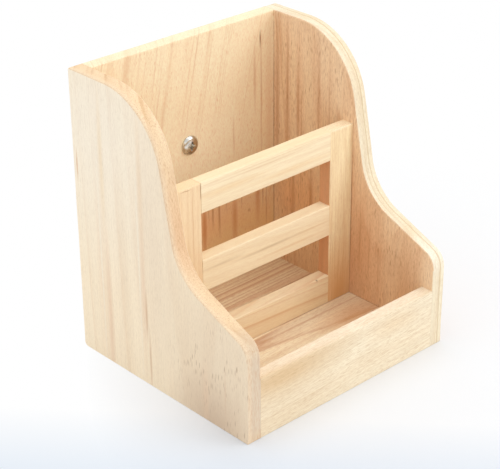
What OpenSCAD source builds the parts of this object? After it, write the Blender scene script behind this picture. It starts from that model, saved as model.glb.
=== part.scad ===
// Hay feeder box: a pine box with curved side panels, a slatted divider between
// the hay bin at the back and the food tray at the front, and one bolt with a
// washer and a wing nut that clamps the back panel to the bars of a cage.
// Millimetres. X runs across the box, -Y faces the animal, +Z is up.
// The origin is the middle of the footprint of the boards, on the table.

/* [Box] */
// Width over both side panels
box_w = 160; // [130:1:220]
// Depth from the lip's front face to the back panel's rear face
box_d = 146; // [136:1:180]
// Height of the side panels and the back panel
box_h = 180; // [170:1:210]
// Thickness of each side panel
side_t = 10; // [9:0.5:14]
// Thickness of the back panel and the front lip
back_t = 9; // [8:0.5:12]
// Thickness of the floor
floor_t = 10.5; // [9:0.5:14]
// Height of the front lip
lip_h = 38.5; // [34:0.5:48]

/* [Side panel outline] */
// Level stretch at the top, from the back edge
top_flat = 32; // [30:1:45]
// Radius of the convex brow below the level stretch
brow_r = 47; // [44:1:52]
// Lean of the straight stretch under the brow, in degrees from upright
lean_angle = 11.3; // [6:0.1:16]
// Radius of the concave scoop
scoop_r = 36; // [24:1:44]
// Fall of the straight arm in front of the scoop, in degrees from level
arm_angle = 22.8; // [16:0.1:30]
// Radius of the convex nose at the front
nose_r = 11.5; // [6:0.5:15]
// Height of the upright front edge, below the nose
nose_h = 52; // [46:1:60]
// Radius of the sanded corner at the bottom of the back edge
heel_r = 3; // [1:0.5:6]

/* [Divider] */
// Thickness of the divider's strips
strip_t = 9; // [6:0.5:10]
// Width of the two stiles
stile_w = 19; // [15:0.5:24]
// Width of the top rail and the bottom rail
rail_w = 19; // [14:0.5:22]
// Width of the middle rail
middle_rail_w = 20.5; // [14:0.5:24]
// Depth of the hay bin, from the divider's rear face to the back panel
hay_depth = 60; // [50:0.5:63]
// Height of the divider's top edge above the table
divider_top = 126; // [118:0.5:140]
// Height of the gap between the bottom rail and the middle rail
lower_gap = 27.5; // [20:0.5:34]

/* [Dowels] */
// Diameter of the dowels that join the boards
board_dowel_d = 5; // [4:0.5:6]
// Length of the dowels that join the boards
board_dowel_l = 20; // [16:1:26]
// Diameter of the dowels in the divider
strip_dowel_d = 4; // [3:0.5:4.5]
// Length of the dowels in the divider
strip_dowel_l = 16; // [14:1:18]

/* [Bolt, washer and wing nut] */
// Height of the bolt above the table
bolt_z = 111; // [90:1:150]
// Outer diameter of the bolt's thread
bolt_d = 5.9; // [4.9:0.1:6.1]
// Length of the bolt under its head
bolt_l = 30; // [26:1:40]
// Diameter of the bolt's domed head
head_d = 12.6; // [11:0.1:16]
// Height of the bolt's domed head
head_h = 2.4; // [2:0.1:4]
// Diameter of the hole in the back panel
hole_d = 6.5; // [6.2:0.1:8.5]
// Outer diameter of the washer
washer_d = 25; // [18:1:32]
// Thickness of the washer
washer_t = 1.5; // [1:0.1:2.5]
// Span of the wing nut's wings
wing_span = 32; // [28:1:40]
// Height of the wing nut, from its seat to the top of its wings
wing_h = 16; // [14:1:20]

/* [Hidden] */
$fn = 96;
cut = 1; // how far a cutter runs past the face that it opens

// planes of the box
inner_x = box_w / 2 - side_t;       // inner face of a side panel
front_y = -box_d / 2;               // front face of the lip
lip_back_y = front_y + back_t;      // rear face of the lip
rear_y = box_d / 2;                 // rear face of the back panel
back_front_y = rear_y - back_t;     // front face of the back panel
divider_y = back_front_y - hay_depth - strip_t; // front face of the divider
divider_mid_y = divider_y + strip_t / 2;
stile_x = inner_x - stile_w;        // inner edge of a stile

// rails, each by the height of its lower edge and its width
bottom_rail_z = floor_t;
middle_rail_z = bottom_rail_z + rail_w + lower_gap;
top_rail_z = divider_top - rail_w;
bottom_rail = [bottom_rail_z, rail_w];
middle_rail = [middle_rail_z, middle_rail_w];
top_rail = [top_rail_z, rail_w];

// side outline, measured from the front face and the table: the straight lean
// and arm are as long as it takes to meet the nose
brow_c = [box_d - top_flat, box_h - brow_r];
brow_end = brow_c + brow_r * [-cos(lean_angle), sin(lean_angle)];
lean_dir = [-sin(lean_angle), -cos(lean_angle)];
arm_dir = [-cos(arm_angle), -sin(arm_angle)];
scoop_turn = scoop_r * [sin(arm_angle) - cos(lean_angle), sin(lean_angle) - cos(arm_angle)];
nose_c = [nose_r, nose_h];
nose_start = nose_c + nose_r * [-sin(arm_angle), cos(arm_angle)];
lean_and_arm = nose_start - brow_end - scoop_turn;
lean_l = cross(lean_and_arm, arm_dir) / cross(lean_dir, arm_dir);
scoop_start = brow_end + lean_l * lean_dir;
scoop_c = scoop_start + scoop_r * [-cos(lean_angle), sin(lean_angle)];
arc_step = 2.5;                     // degrees between points on the outline's arcs

// dowel places, [y, z] along a side panel, x along the floor's ends
dowel_chamfer = 0.5;
socket_spare = 0.5;                 // empty depth past each end of a dowel
board_into_side = 6.5;              // depth of a board dowel in a side panel
board_into_back = 5.5;              // depth of a floor dowel in the back panel or the lip
strip_into_side = 5.5;              // depth of a stile's dowel in a side panel
strip_into_stile = 8;               // depth of a rail's dowel in a stile
dowel_inset = 25;                   // from a board's end to its outer dowel
floor_side_inset = 20;              // from the floor's front or rear end to the dowel in its side
lip_dowel_shares = [0.27, 0.73];    // of the lip's height
back_spots = [for (z = [dowel_inset, box_h / 2, box_h - dowel_inset]) [rear_y - back_t / 2, z]];
floor_xs = [-1, 0, 1] * (inner_x - dowel_inset);
floor_spots = [for (y = [-1, 0, 1]) [y * (back_front_y - floor_side_inset), floor_t / 2]];
lip_spots = [for (share = lip_dowel_shares) [front_y + back_t / 2, share * lip_h]];
stile_spots = [
    for (z = [middle_rail_z - lower_gap / 2, (middle_rail_z + middle_rail_w + top_rail_z) / 2])
        [divider_mid_y, z]
];
rail_dowel_gap = rail_w / 2;        // between the two dowels of one rail's end
rail_spots = [
    for (rail = [bottom_rail, middle_rail, top_rail], way = [-1, 1])
        [divider_mid_y, rail[0] + rail[1] / 2 + way * rail_dowel_gap / 2]
];

// bolt, washer and wing nut, all on one axis along Y
thread_chamfer = 0.8;
thread_clearance = 0.05;            // radial, between the thread and the nut
head_rim = 0.5;                     // upright rim under the head's dome
recess_floor = 0.1;                 // of the dome left under the cross recess
dome_h = head_h - head_rim;
dome_r = (pow(head_d / 2, 2) + pow(dome_h, 2)) / (2 * dome_h);
recess_span = 6.6;                  // cross recess, tip to tip
recess_w = 1.2;
recess_depth = head_h - head_rim - recess_floor;
recess_turn = 6;
washer_clearance = 0.5;             // on the diameter
washer_hole_d = bolt_d + washer_clearance;
hub_base_d = 12.5;
hub_top_d = 10.5;
hub_h = 8;
wing_t = 2.4;
wing_r = 6;
wing_foot = 1.5;                    // clearance of a wing above the nut's seat
wing_drop = 0.5;                    // from the hub's end to the root of a wing
wing_under = -40;                   // where a wing's lower edge meets its round tip
wing_over = 140;                    // where its upper edge does
nut_y = rear_y + washer_t;          // the nut's seat

pine = [0.93, 0.84, 0.70];
pale_pine = [0.96, 0.89, 0.76];
tan_pine = [0.87, 0.72, 0.53];
dowel_beech = [0.85, 0.69, 0.50];
plated_steel = [0.75, 0.73, 0.69];

// a block from its lowest corner to its highest
module block(low, high) {
    translate(low) cube(high - low);
}

// a dowel along +Z with chamfered ends
module dowel(d, l) {
    r = d / 2;
    rotate_extrude()
        polygon([
            [0, 0], [r - dowel_chamfer, 0], [r, dowel_chamfer],
            [r, l - dowel_chamfer], [r - dowel_chamfer, l], [0, l]
        ]);
}

// the hole for that dowel, with spare depth at both ends
module socket(d, l) {
    translate([0, 0, -socket_spare]) cylinder(d = d, h = l + 2 * socket_spare);
}

// puts children() across a joint that faces +X: it ends at depth `into` past x
module across_x(x, into, l, spots) {
    for (spot = spots)
        translate([x + into - l, spot[0], spot[1]]) rotate([0, 90, 0]) children();
}

// puts children() across the floor's rear (way 1) or front (way -1) end
module across_floor_end(way, l) {
    for (x = floor_xs)
        translate([x, way * (back_front_y + board_into_back - l), floor_t / 2])
            rotate([-way * 90, 0, 0]) children();
}

module across_side_and_board(spots) {
    across_x(inner_x, board_into_side, board_dowel_l, spots) children();
}

module across_side_and_stile() {
    across_x(inner_x, strip_into_side, strip_dowel_l, stile_spots) children();
}

module across_stile_and_rails() {
    across_x(stile_x, strip_into_stile, strip_dowel_l, rail_spots) children();
}

module board_socket() {
    socket(board_dowel_d, board_dowel_l);
}

module board_dowel() {
    color(dowel_beech) dowel(board_dowel_d, board_dowel_l);
}

module strip_socket() {
    socket(strip_dowel_d, strip_dowel_l);
}

module strip_dowel() {
    color(dowel_beech) dowel(strip_dowel_d, strip_dowel_l);
}

// children() on the right, and their mirror image on the left
module both_sides() {
    children();
    mirror([1, 0, 0]) children();
}

// points along an arc, from one angle to another
function arc(centre, r, from, to) =
    let (steps = ceil(abs(to - from) / arc_step))
    [for (i = [0:steps]) let (a = from + (to - from) * i / steps) centre + r * [cos(a), sin(a)]];

// outline of a side panel: heel, level top, brow, lean, scoop, arm and nose
module side_outline() {
    heel_c = [box_d - heel_r, heel_r];
    polygon(concat(
        [[0, 0]],
        arc(heel_c, heel_r, -90, 0),
        [[box_d, box_h]],
        arc(brow_c, brow_r, 90, 180 - lean_angle),
        arc(scoop_c, scoop_r, -lean_angle, arm_angle - 90),
        arc(nose_c, nose_r, 90 + arm_angle, 180)
    ));
}

module right_side_panel() {
    color(pine)
        difference() {
            translate([inner_x, front_y, 0])
                rotate([90, 0, 90]) linear_extrude(side_t) side_outline();
            across_side_and_board(back_spots) board_socket();
            across_side_and_board(floor_spots) board_socket();
            across_side_and_board(lip_spots) board_socket();
            across_side_and_stile() strip_socket();
        }
}

module left_side_panel() {
    mirror([1, 0, 0]) right_side_panel();
}

module back_panel() {
    color(tan_pine)
        difference() {
            block([-inner_x, back_front_y, 0], [inner_x, rear_y, box_h]);
            both_sides() across_side_and_board(back_spots) board_socket();
            across_floor_end(1, board_dowel_l) board_socket();
            translate([0, back_front_y - cut, bolt_z])
                rotate([-90, 0, 0]) cylinder(d = hole_d, h = back_t + 2 * cut);
        }
}

module floor_panel() {
    color(tan_pine)
        difference() {
            block([-inner_x, lip_back_y, 0], [inner_x, back_front_y, floor_t]);
            both_sides() across_side_and_board(floor_spots) board_socket();
            for (way = [-1, 1]) across_floor_end(way, board_dowel_l) board_socket();
        }
}

module front_lip() {
    color(pale_pine)
        difference() {
            block([-inner_x, front_y, 0], [inner_x, lip_back_y, lip_h]);
            both_sides() across_side_and_board(lip_spots) board_socket();
            across_floor_end(-1, board_dowel_l) board_socket();
        }
}

module right_stile() {
    color(pale_pine)
        difference() {
            block([stile_x, divider_y, floor_t], [inner_x, divider_y + strip_t, divider_top]);
            across_side_and_stile() strip_socket();
            across_stile_and_rails() strip_socket();
        }
}

module left_stile() {
    mirror([1, 0, 0]) right_stile();
}

// a rail between the stiles
module rail(z_and_width) {
    low = [-stile_x, divider_y, z_and_width[0]];
    color(pale_pine)
        difference() {
            block(low, low + [2 * stile_x, strip_t, z_and_width[1]]);
            both_sides() across_stile_and_rails() strip_socket();
        }
}

module right_back_dowels() {
    across_side_and_board(back_spots) board_dowel();
}

module right_floor_dowels() {
    across_side_and_board(floor_spots) board_dowel();
}

module right_lip_dowels() {
    across_side_and_board(lip_spots) board_dowel();
}

module right_stile_dowels() {
    across_side_and_stile() strip_dowel();
}

module right_rail_dowels() {
    across_stile_and_rails() strip_dowel();
}

// places a turned shape, drawn along +Z from z = 0, on the bolt's axis at y
module on_bolt_axis(y) {
    translate([0, y, bolt_z]) rotate([-90, 0, 0]) children();
}

// domed head with a cross recess, and a round shank as wide as the thread
module mounting_bolt() {
    shank_r = bolt_d / 2;
    color(plated_steel)
        on_bolt_axis(back_front_y) {
            rotate_extrude()
                polygon([
                    [0, -head_rim], [shank_r, -head_rim], [shank_r, bolt_l - thread_chamfer],
                    [shank_r - thread_chamfer, bolt_l], [0, bolt_l]
                ]);
            difference() {
                intersection() {
                    translate([0, 0, dome_r - head_h]) sphere(dome_r);
                    translate([0, 0, -head_h]) cylinder(d = head_d, h = head_h);
                }
                for (turn = [recess_turn, recess_turn + 90])
                    rotate([0, 0, turn])
                        translate([-recess_span / 2, -recess_w / 2, -head_h - cut])
                            cube([recess_span, recess_w, recess_depth + cut]);
            }
        }
}

module clamp_washer() {
    color(plated_steel)
        on_bolt_axis(rear_y)
            difference() {
                cylinder(d = washer_d, h = washer_t);
                translate([0, 0, -cut]) cylinder(d = washer_hole_d, h = washer_t + 2 * cut);
            }
}

// outline of one wing, from the hub's axis outwards
module wing_outline() {
    tip = [wing_span / 2 - wing_r, wing_h - wing_r];
    translate(tip) circle(wing_r);
    polygon([
        [0, wing_foot], [hub_base_d / 2, wing_foot],
        tip + wing_r * [cos(wing_under), sin(wing_under)],
        tip + wing_r * [cos(wing_over), sin(wing_over)],
        [hub_top_d / 2, hub_h - wing_drop], [0, hub_h - wing_drop]
    ]);
}

module wing_nut() {
    bore_d = bolt_d + 2 * thread_clearance;
    color(plated_steel)
        on_bolt_axis(nut_y)
            difference() {
                union() {
                    cylinder(d1 = hub_base_d, d2 = hub_top_d, h = hub_h);
                    for (turn = [0, 180])
                        rotate([0, 0, turn])
                            translate([0, wing_t / 2, 0])
                                rotate([90, 0, 0]) linear_extrude(wing_t) wing_outline();
                }
                translate([0, 0, -cut]) cylinder(d = bore_d, h = wing_h + 2 * cut);
            }
}

left_side_panel();
right_side_panel();
back_panel();
floor_panel();
front_lip();
left_stile();
right_stile();
rail(top_rail);
rail(middle_rail);
rail(bottom_rail);
mirror([1, 0, 0]) right_back_dowels();  // left_back_dowels
right_back_dowels();
mirror([1, 0, 0]) right_floor_dowels();  // left_floor_dowels
right_floor_dowels();
mirror([1, 0, 0]) right_lip_dowels();  // left_lip_dowels
right_lip_dowels();
across_floor_end(1, board_dowel_l) board_dowel();  // back_floor_dowels
across_floor_end(-1, board_dowel_l) board_dowel();  // front_floor_dowels
mirror([1, 0, 0]) right_stile_dowels();  // left_stile_dowels
right_stile_dowels();
mirror([1, 0, 0]) right_rail_dowels();  // left_rail_dowels
right_rail_dowels();
mounting_bolt();
clamp_washer();
wing_nut();
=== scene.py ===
"""Hay feeder box of bare pine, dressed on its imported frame.

Everything is in metres, in the frame's own axes: X to the right, Y to the back, Z up.
"""

import math

import bmesh
import bpy
from mathutils import Matrix, Vector, noise


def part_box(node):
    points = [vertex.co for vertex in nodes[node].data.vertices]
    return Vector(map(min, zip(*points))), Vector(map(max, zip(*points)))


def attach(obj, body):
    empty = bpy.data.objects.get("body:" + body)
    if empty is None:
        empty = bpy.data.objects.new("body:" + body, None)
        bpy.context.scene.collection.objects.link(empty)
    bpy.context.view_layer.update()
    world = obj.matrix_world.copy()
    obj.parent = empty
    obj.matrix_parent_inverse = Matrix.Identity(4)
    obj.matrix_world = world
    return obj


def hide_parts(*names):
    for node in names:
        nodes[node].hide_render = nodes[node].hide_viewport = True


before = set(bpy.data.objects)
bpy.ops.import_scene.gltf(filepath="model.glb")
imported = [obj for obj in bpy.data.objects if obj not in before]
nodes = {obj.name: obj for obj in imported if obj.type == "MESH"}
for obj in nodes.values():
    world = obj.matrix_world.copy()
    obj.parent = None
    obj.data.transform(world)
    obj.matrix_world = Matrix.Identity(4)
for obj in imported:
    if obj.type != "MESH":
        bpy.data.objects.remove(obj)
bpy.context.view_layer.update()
scene = bpy.context.scene

MM = 0.001

# ---------------------------------------------------------------- camera

PHOTO_WIDTH = 500
FOCAL_PIXELS = 1553.8
SENSOR_WIDTH = 36.0
CLIP_START = 0.01
CLIP_END = 50.0
CAMERA_PLACE = Vector((-0.55523, -0.59244, 0.49331))
CAMERA_FORWARD = Vector((0.60181, 0.65384, -0.4586)).normalized()
CAMERA_RIGHT = Vector((0.73329, -0.67988, -0.00705))


def make_camera():
    """A long lens at the photograph's place and angle, with its axis through the middle."""
    data = bpy.data.cameras.new("camera")
    data.sensor_fit = "HORIZONTAL"
    data.sensor_width = SENSOR_WIDTH
    data.lens = FOCAL_PIXELS / PHOTO_WIDTH * SENSOR_WIDTH
    data.clip_start = CLIP_START
    data.clip_end = CLIP_END
    camera = bpy.data.objects.new("camera", data)
    right = (CAMERA_RIGHT - CAMERA_FORWARD * CAMERA_RIGHT.dot(CAMERA_FORWARD)).normalized()
    up = right.cross(CAMERA_FORWARD)
    turn = Matrix((right, up, -CAMERA_FORWARD)).transposed()
    camera.matrix_world = Matrix.Translation(CAMERA_PLACE) @ turn.to_4x4()
    scene.collection.objects.link(camera)
    scene.camera = camera


# ---------------------------------------------------------------- node helpers

# A Mix node's sockets for colours: the share, both colours and the result.
MIX_SHARE = 0
MIX_FIRST = 6
MIX_SECOND = 7
MIX_RESULT = 2


def tone(red, green, blue):
    """A colour in a screen's 0 to 255 steps, as the linear values that shaders take."""
    steps = [channel / 255 for channel in (red, green, blue)]
    linear = [s / 12.92 if s <= 0.04045 else ((s + 0.055) / 1.055) ** 2.4 for s in steps]
    return (*linear, 1.0)


def fill(tree, socket, value):
    """Links value to the socket, or sets the socket to it if it is a constant."""
    if isinstance(value, bpy.types.NodeSocket):
        tree.links.new(value, socket)
    else:
        socket.default_value = value


def add_node(tree, kind, sockets=None, **settings):
    """A shader node with its settings made and its sockets filled."""
    made = tree.nodes.new("ShaderNode" + kind)
    for name, value in settings.items():
        setattr(made, name, value)
    for key, value in (sockets or {}).items():
        fill(tree, made.inputs[key], value)
    return made


def number_of(tree, first, second, operation="ADD"):
    """The result of one Math node."""
    return add_node(tree, "Math", {0: first, 1: second}, operation=operation).outputs[0]


def product_of(tree, first, *others):
    """Numbers multiplied together."""
    for other in others:
        first = number_of(tree, first, other, "MULTIPLY")
    return first


def vector_of(tree, first, second, operation="MULTIPLY"):
    """The vector that one Vector Math node gives."""
    return add_node(tree, "VectorMath", {0: first, 1: second}, operation=operation).outputs[0]


def length_of(tree, vector):
    """A vector's length."""
    return add_node(tree, "VectorMath", {0: vector}, operation="LENGTH").outputs["Value"]


def reach_along(tree, vector, way):
    """How far a vector reaches along way."""
    sockets = {0: vector, 1: way}
    return add_node(tree, "VectorMath", sockets, operation="DOT_PRODUCT").outputs["Value"]


def object_place(tree):
    """Each point's place in the object's own axes."""
    return add_node(tree, "TexCoord").outputs["Object"]


def spread(tree, value, low, high, to_low=0.0, to_high=1.0):
    """value, stretched from low..high to to_low..to_high and held there."""
    sockets = {
        "Value": value,
        "From Min": low,
        "From Max": high,
        "To Min": to_low,
        "To Max": to_high,
    }
    return add_node(tree, "MapRange", sockets).outputs["Result"]


def blend_colours(tree, share, first, second, kind="MIX"):
    """Two colours mixed by share."""
    mix = add_node(tree, "Mix", data_type="RGBA", blend_type=kind)
    for index, value in ((MIX_SHARE, share), (MIX_FIRST, first), (MIX_SECOND, second)):
        fill(tree, mix.inputs[index], value)
    return mix.outputs[MIX_RESULT]


def noise_of(tree, where, scale, detail=2.0, roughness=0.5):
    """The outputs of a Noise Texture: a value about 0.5, and a colour as three of them."""
    sockets = {"Vector": where, "Scale": scale, "Detail": detail, "Roughness": roughness}
    return add_node(tree, "TexNoise", sockets).outputs


def ramp_of(tree, value, stops):
    """A grey ramp through (place, brightness) stops."""
    ramp = add_node(tree, "ValToRGB", {"Fac": value})
    elements = ramp.color_ramp.elements
    while len(elements) < len(stops):
        elements.new(0.5)
    for element, (place, level) in zip(elements, stops):
        element.position = place
        element.color = (level, level, level, 1.0)
    return ramp.outputs["Color"]


def bump_of(tree, height, strength, distance):
    """The normal that a Bump node gives."""
    sockets = {"Height": height, "Strength": strength, "Distance": distance}
    return add_node(tree, "Bump", sockets).outputs[0]


def new_material(name):
    """An empty material with its Principled shader."""
    material = bpy.data.materials.new(name)
    material.use_nodes = True
    tree = material.node_tree
    return material, tree, tree.nodes["Principled BSDF"]


# ---------------------------------------------------------------- pine

TO_MM = (1000.0, 1000.0, 1000.0)
CENTRED = (0.5, 0.5, 0.5)
ACROSS = (1.0, 1.0, 0.0)

# One year's darkness as (place, level) stops, from its early wood to its late wood.
RING_STOPS = ((0.0, 0.28), (0.07, 0.02), (0.45, 0.08), (0.8, 0.42), (0.94, 1.0), (1.0, 0.45))
THIN_RINGS = ((0.0, 0.2), (0.05, 0.0), (0.55, 0.06), (0.84, 0.3), (0.95, 1.0), (1.0, 0.3))

# Noises in the log: the squeeze along the grain, the scale in each mm, detail and roughness.
SWAY_NOISE = (0.22, 0.022, 2.0, 0.5)
RIPPLE_NOISE = (0.06, 0.35, 3.0, 0.5)
WEAVE_NOISE = (0.08, 0.12, 1.0, 0.5)
BAND_NOISE = (0.05, 0.06, 2.0, 0.5)
THREAD_NOISE = (0.035, 1.1, 3.0, 0.6)
GRIT_NOISE = (0.16, 2.1, 2.0, 0.6)
PATCH_NOISE = (0.5, 0.07, 1.0, 0.5)

# Noises over the years: the scale in each year, and detail.
DRIFT_NOISE = (0.45, 1.0)
HAIR_NOISE = (3.3, 3.0)

# The stretch of each value that is used, from where it gives nothing to where it gives all.
DRIFT_RANGE = (0.2, 0.8)
HAIR_RANGE = (0.52, 0.68)
WEAVE_RANGE = (0.35, 0.65)
BAND_RANGE = (0.4, 0.65)
FIBRE_RANGE = (0.65, 0.35)
GRIT_RANGE = (0.54, 0.34)
DASH_RANGE = (0.33, 0.15)
CHOSEN_RANGE = (0.3, 0.9)
NEARBY_RANGE = (1.0, 0.5)
PATCH_RANGE = (0.2, 0.42)
SHEEN_RANGE = (0.3, 0.7)

RIPPLE_SIZE = (0.8, 0.8, 0.0)
RAGGED_EDGE = (1.2 * MM, 1.2 * MM, 1.2 * MM)
LOGS_APART = 131.0
YEARS_APART = 7.3
PORE_CELLS = (0.92, 0.92, 0.13)
FEWEST_PORES = 0.12
ROUGHNESS = (0.52, 0.68)
SHINE = 0.3
LATE_RISE = -0.4
RELIEF = (0.1, 0.2 * MM)

SOFT_STAIN_AND_SHADE = 0.15
CRISP_SHADE = 0.7
WARM_PORE = (216, 168, 116)


def reach_of(tree, where, spot, half):
    """How far where lies from spot, as a share of the half size."""
    inverse = tuple(1.0 / size for size in half)
    return length_of(tree, vector_of(tree, vector_of(tree, where, spot, "SUBTRACT"), inverse))


def log_noise(tree, log, squeeze, scale, detail, roughness):
    """The outputs of a noise in the log, drawn out along the grain."""
    return noise_of(tree, vector_of(tree, log, (1.0, 1.0, squeeze)), scale, detail, roughness)


def year_noise(tree, count, scale, detail):
    """A noise that changes from ring to ring only."""
    sockets = {"W": count, "Scale": scale, "Detail": detail}
    return add_node(tree, "TexNoise", sockets, noise_dimensions="1D").outputs[0]


def pine(
    name,
    grain="Z",
    pith=(60.0, 40.0),
    tilt=(0.0, 0.0),
    ring=3.0,
    stops=RING_STOPS,
    uneven=0.8,
    faintest=0.2,
    early=(253, 232, 194),
    late=(222, 178, 126),
    depth=0.4,
    band=(236, 204, 158),
    band_depth=0.3,
    sway=2.0,
    hairs=0.25,
    pores=0.0,
    pore_tone=(176, 138, 98),
    pored=None,
    fibre=0.2,
    grit=0.2,
    wood_and_lighting_marks=(),
    seed=0.0,
):
    """Sawn pine as a solid: growth rings round a pith line beside the board, in mm.

    grain is the axis the tree grew along. pith is where the object's origin lies from the
    tree's middle, across the grain. tilt turns the pith line in degrees, so that rings run out
    of the face as flames. ring is the usual width of a ring, uneven how far the rings stray
    from one spacing, in rings, and faintest the strength of the weakest ring. depth is the
    strength of the rings and band_depth that of the broad bands. sway is how far the grain
    wanders. hairs is the strength of the thin lines between the rings, fibre that of the long
    fibres and grit that of the short ones. pored is the place and half size of the stretch
    where the pores gather. wood_and_lighting_marks are single marks, both the wood's own
    stains and streaks and painted light and shade, each by its place, its half size, its
    colour, its strength and the share of it that is solid.
    """
    material, tree, shader = new_material(name)
    place = object_place(tree)
    turn = [math.radians(angle) for angle in tilt]
    if grain == "X":
        turn[1] -= math.pi / 2
    sockets = {
        "Vector": place,
        "Scale": TO_MM,
        "Rotation": (*turn, 0.0),
        "Location": (*pith, seed * LOGS_APART),
    }
    log = add_node(tree, "Mapping", sockets).outputs[0]

    waver = log_noise(tree, log, *SWAY_NOISE)["Color"]
    shift = vector_of(tree, waver, CENTRED, "SUBTRACT")
    shift = vector_of(tree, shift, (sway * 2, sway * 2, 0.0))
    bent = vector_of(tree, log, shift, "ADD")
    fine = log_noise(tree, log, *RIPPLE_NOISE)["Color"]
    ripple = vector_of(tree, fine, CENTRED, "SUBTRACT")
    bent = vector_of(tree, bent, vector_of(tree, ripple, RIPPLE_SIZE), "ADD")

    radius = length_of(tree, vector_of(tree, bent, ACROSS))
    count = number_of(tree, radius, ring, "DIVIDE")
    drift = year_noise(tree, number_of(tree, count, seed * YEARS_APART), *DRIFT_NOISE)
    count = number_of(tree, count, spread(tree, drift, *DRIFT_RANGE, 0.0, uneven))
    ring_line = ramp_of(tree, number_of(tree, count, 1.0, "FRACT"), stops)
    number = number_of(tree, number_of(tree, count, 1.0, "FLOOR"), seed)
    year = add_node(tree, "TexWhiteNoise", {"W": number}, noise_dimensions="1D").outputs["Value"]
    vigour = spread(tree, year, 0.0, 1.0, faintest, 1.0)
    ring_share = product_of(tree, ring_line, vigour, depth)
    colour = blend_colours(tree, ring_share, tone(*early), tone(*late))

    sheet = spread(tree, year_noise(tree, count, *HAIR_NOISE), *HAIR_RANGE)
    weave = spread(tree, log_noise(tree, log, *WEAVE_NOISE)[0], *WEAVE_RANGE)
    colour = blend_colours(tree, product_of(tree, sheet, weave, hairs), colour, tone(*late))

    broad = log_noise(tree, log, *BAND_NOISE)[0]
    band_share = spread(tree, broad, *BAND_RANGE, 0.0, band_depth)
    colour = blend_colours(tree, band_share, colour, tone(*band))

    ragged = vector_of(tree, place, vector_of(tree, ripple, RAGGED_EDGE), "ADD")
    # Each mark blends its colour in: the wood's own stains and streaks, and painted light and
    # shade.
    for spot, half, wood_and_lighting_colour, strength, solid in wood_and_lighting_marks:
        share = spread(tree, reach_of(tree, ragged, spot, half), 1.0, solid, 0.0, strength)
        colour = blend_colours(tree, share, colour, tone(*wood_and_lighting_colour))

    thread = log_noise(tree, log, *THREAD_NOISE)[0]
    fibre_share = spread(tree, thread, *FIBRE_RANGE, 0.0, fibre)
    colour = blend_colours(tree, fibre_share, colour, tone(*pore_tone))
    dust = log_noise(tree, log, *GRIT_NOISE)[0]
    grit_share = spread(tree, dust, *GRIT_RANGE, 0.0, grit)
    colour = blend_colours(tree, grit_share, colour, tone(*pore_tone))

    if pores:
        sockets = {"Vector": vector_of(tree, bent, PORE_CELLS), "Scale": 1.0}
        cells = add_node(tree, "TexVoronoi", sockets).outputs
        dash = spread(tree, cells["Distance"], *DASH_RANGE)
        chosen = add_node(tree, "SeparateColor", {"Color": cells["Color"]}).outputs[0]
        if pored:
            distance = reach_of(tree, place, *pored)
            nearby = spread(tree, distance, *NEARBY_RANGE, FEWEST_PORES, 1.0)
            kept = product_of(tree, spread(tree, chosen, *CHOSEN_RANGE), nearby)
        else:
            patch = log_noise(tree, log, *PATCH_NOISE)[0]
            kept = spread(tree, product_of(tree, chosen, patch), *PATCH_RANGE)
        pore_share = product_of(tree, dash, kept, pores)
        colour = blend_colours(tree, pore_share, colour, tone(*pore_tone))

    tree.links.new(colour, shader.inputs["Base Color"])
    tree.links.new(spread(tree, thread, *SHEEN_RANGE, *ROUGHNESS), shader.inputs["Roughness"])
    shader.inputs["Specular IOR Level"].default_value = SHINE
    height = number_of(tree, thread, product_of(tree, ring_line, LATE_RISE))
    tree.links.new(bump_of(tree, height, *RELIEF), shader.inputs["Normal"])
    return material


# ---------------------------------------------------------------- boards

ARRIS = 1.1 * MM
TIGHT = 0.04
FOOT_ARRIS = 0.35
FOOT_ZONE = 4.0 * MM
TOUCH = 0.06 * MM
SAME = 0.001 * MM
RIM_STEP = 2.5 * MM
SHARP = math.radians(20)
FLAT = math.radians(0.5)
FACING_SIDEWAYS = 0.7
BACK_REAR = 73.0 * MM

# Hand sanding: how much of the arris an edge usually gets, how far that swings and its least.
USUAL_EASING = 0.78
EASING_SWING = 0.3
LEAST_EASING = 0.3
BROAD_WEAR = 45
FINE_WEAR = 110
FINE_WEAR_SHARE = 0.4

BOARDS = [
    "left_side_panel",
    "right_side_panel",
    "back_panel",
    "floor_panel",
    "front_lip",
    "left_stile",
    "right_stile",
    "top_rail",
    "middle_rail",
    "bottom_rail",
]


def in_box(point, low, high):
    """Whether point lies in the box or on its skin."""
    return all(low[i] - TOUCH <= point[i] <= high[i] + TOUCH for i in range(3))


def outline_of(bm, axis, level):
    """Leaves only the outline of the copied node's flat side at that level, as one face."""
    bmesh.ops.remove_doubles(bm, verts=bm.verts, dist=SAME)
    away = [v for v in bm.verts if abs(v.co[axis] - level) > TOUCH]
    bmesh.ops.delete(bm, geom=away, context="VERTS")
    middle = sum((v.co for v in bm.verts), Vector()) / len(bm.verts)
    corner = max(bm.verts, key=lambda v: (v.co - middle).length)
    kept = set()
    queue = [corner]
    while queue:
        for edge in queue.pop().link_edges:
            if edge.is_boundary and edge not in kept:
                kept.add(edge)
                queue += edge.verts
    bmesh.ops.delete(bm, geom=bm.faces[:], context="FACES_ONLY")
    bmesh.ops.delete(bm, geom=[e for e in bm.edges if e not in kept], context="EDGES")
    bmesh.ops.dissolve_limit(bm, angle_limit=FLAT, verts=bm.verts, edges=bm.edges)
    for edge in bm.edges[:]:
        cuts = int(edge.calc_length() / RIM_STEP)
        if cuts:
            bmesh.ops.bisect_edges(bm, edges=[edge], cuts=cuts)
    return bmesh.ops.contextual_create(bm, geom=bm.edges)["faces"][0]


def thicken(bm, face, by):
    """Draws a face out by a vector into a slab."""
    grown = bmesh.ops.extrude_face_region(bm, geom=[face])["geom"]
    moved = [part for part in grown if isinstance(part, bmesh.types.BMVert)]
    bmesh.ops.translate(bm, verts=moved, vec=by)


def object_from(bm, name):
    """The finished mesh as an object of the scene."""
    mesh = bpy.data.meshes.new(name)
    bm.to_mesh(mesh)
    bm.free()
    made = bpy.data.objects.new(name, mesh)
    scene.collection.objects.link(made)
    return made


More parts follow.
